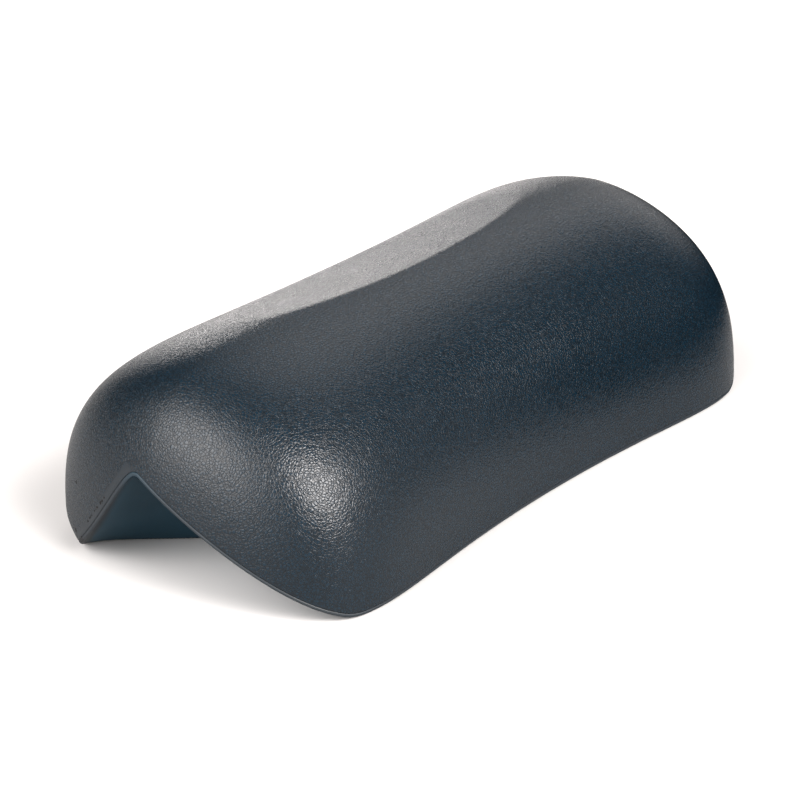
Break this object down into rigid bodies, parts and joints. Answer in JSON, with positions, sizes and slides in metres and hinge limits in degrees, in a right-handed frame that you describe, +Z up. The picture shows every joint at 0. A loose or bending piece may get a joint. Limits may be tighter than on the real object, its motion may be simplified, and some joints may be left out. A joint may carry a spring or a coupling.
{
  "type": "spa neck bolster",
  "caption": "Saddle-shaped spa neck bolster of self-skinned foam with a dished head rest, a flat sole and bulged ends, each with a scooped V notch underneath.",
  "frame": {"origin": "centre of the footprint on the plane that the sole rests on", "axes": "+Z up, X along the bolster, +Y towards the side that the head rest slopes down to"},
  "size_m": [0.2982, 0.1427, 0.0824],
  "materials": {
    "grained_skin": "integral polyurethane skin, dark slate blue, fine moulded leather grain, satin",
    "smooth_skin": "integral polyurethane skin, dark slate blue, smooth, satin",
    "foam": "flexible moulded polyurethane foam, dark grey, open cells"
  },
  "bodies": {
    "root": {"upper_skin": "grained_skin", "lower_skin": "smooth_skin", "foam_core": "foam"}
  },
  "joints": []
}
